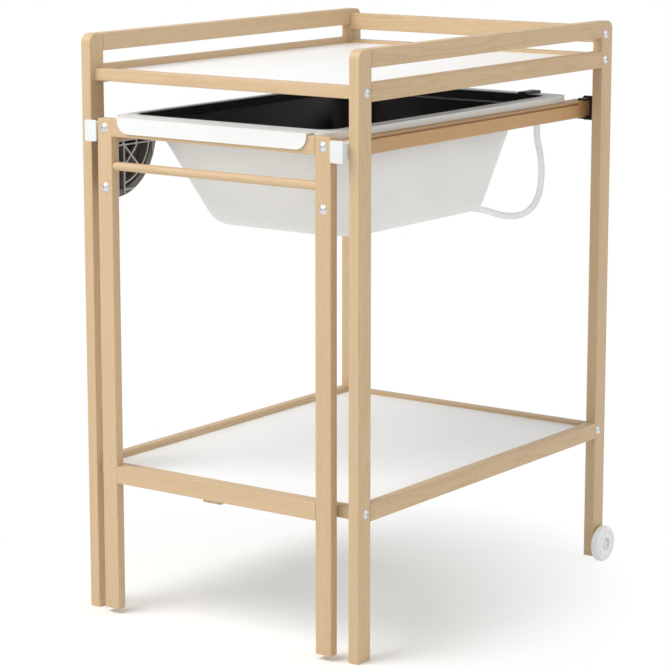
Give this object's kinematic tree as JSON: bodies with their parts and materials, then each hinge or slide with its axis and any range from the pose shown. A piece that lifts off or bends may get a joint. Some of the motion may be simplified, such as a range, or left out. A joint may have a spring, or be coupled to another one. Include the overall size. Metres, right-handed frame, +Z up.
{
  "type": "changing table with bathtub",
  "caption": "Beech baby changing table on rear wheels, with guard rails, a shelf and a bathtub on a pull-out carriage with its own legs, towel bar and drain hose.",
  "frame": {"origin": "centre of the part's bounding box, on the floor", "axes": "+Z up, -Y towards the parent who stands in front and pulls the bathtub out, +X to that parent's right"},
  "size_m": [0.6114, 0.8224, 1],
  "materials": {
    "beech": "clear satin varnish",
    "white_laminate": "satin",
    "tub_white": "satin",
    "liner_dark": "satin",
    "bead_grey": "satin",
    "white_plastic": "fine matte",
    "grey_plastic": "moulded",
    "black_plastic": "moulded",
    "hose_vinyl": "clear, slightly milky",
    "zinc_steel": "bright zinc"
  },
  "bodies": {
    "frame": {"front_post_left": "beech", "front_post_right": "beech", "rear_post_left": "beech", "rear_post_right": "beech", "guard_rail_left": "beech", "guard_rail_right": "beech", "top_rail_left": "beech", "top_rail_right": "beech", "shelf_rail_left": "beech", "shelf_rail_right": "beech", "front_top_rail": "beech", "front_shelf_rail": "beech", "rear_guard_rail": "beech", "rear_top_rail": "beech", "rear_shelf_rail": "beech", "changing_board": "white_laminate", "shelf_board": "white_laminate", "rail_block": "beech", "block_screws": "zinc_steel", "frame_bolts": "zinc_steel", "frame_barrel_nuts": "zinc_steel", "frame_dowels": "beech", "slide_guide_left": "white_plastic", "slide_guide_right": "white_plastic", "slide_guide_screws": "zinc_steel", "rear_guide_left": "black_plastic", "rear_guide_right": "black_plastic", "rear_guide_screws": "zinc_steel", "wheel_pins": "zinc_steel", "wheel_washers": "zinc_steel", "wheel_lock_nuts": "zinc_steel"},
    "carriage": {"carriage_leg_left": "beech", "carriage_leg_right": "beech", "carriage_rail_left": "beech", "carriage_rail_right": "beech", "carriage_front_bar": "beech", "carriage_lower_bar": "beech", "carriage_rear_bar": "beech", "towel_bar": "beech", "leg_brace": "grey_plastic", "carriage_bolts": "zinc_steel", "carriage_nuts": "zinc_steel", "carriage_dowels": "beech", "brace_screw": "zinc_steel"},
    "bathtub": {"bathtub_shell": "tub_white", "bathtub_liner": "liner_dark", "rim_bead": "bead_grey", "drain_fitting": "white_plastic", "drain_nut": "white_plastic", "drain_elbow": "white_plastic", "drain_hose": "hose_vinyl", "hose_hook": "black_plastic"},
    "plug": {"drain_plug": "white_plastic"},
    "wheel_left": {"wheel_left": "white_plastic"},
    "wheel_right": {"wheel_right": "white_plastic"}
  },
  "joints": [
    {"name": "carriage_slide", "type": "slide", "parent": "frame", "child": "carriage", "axis": [0, -1, 0], "range_m": [0, 0.7]},
    {"name": "tub_lift", "type": "slide", "parent": "carriage", "child": "bathtub", "axis": [0, 0, 1], "range_m": [0, 0.04]},
    {"name": "plug_lift", "type": "slide", "parent": "bathtub", "child": "plug", "axis": [0, 0, 1], "range_m": [0, 0.025]},
    {"name": "wheel_left_spin", "type": "hinge", "parent": "frame", "child": "wheel_left", "pos_m": [-0.298, 0.3783, 0.033], "axis": [1, 0, 0], "continuous": true},
    {"name": "wheel_right_spin", "type": "hinge", "parent": "frame", "child": "wheel_right", "pos_m": [0.298, 0.3783, 0.033], "axis": [1, 0, 0], "continuous": true}
  ]
}
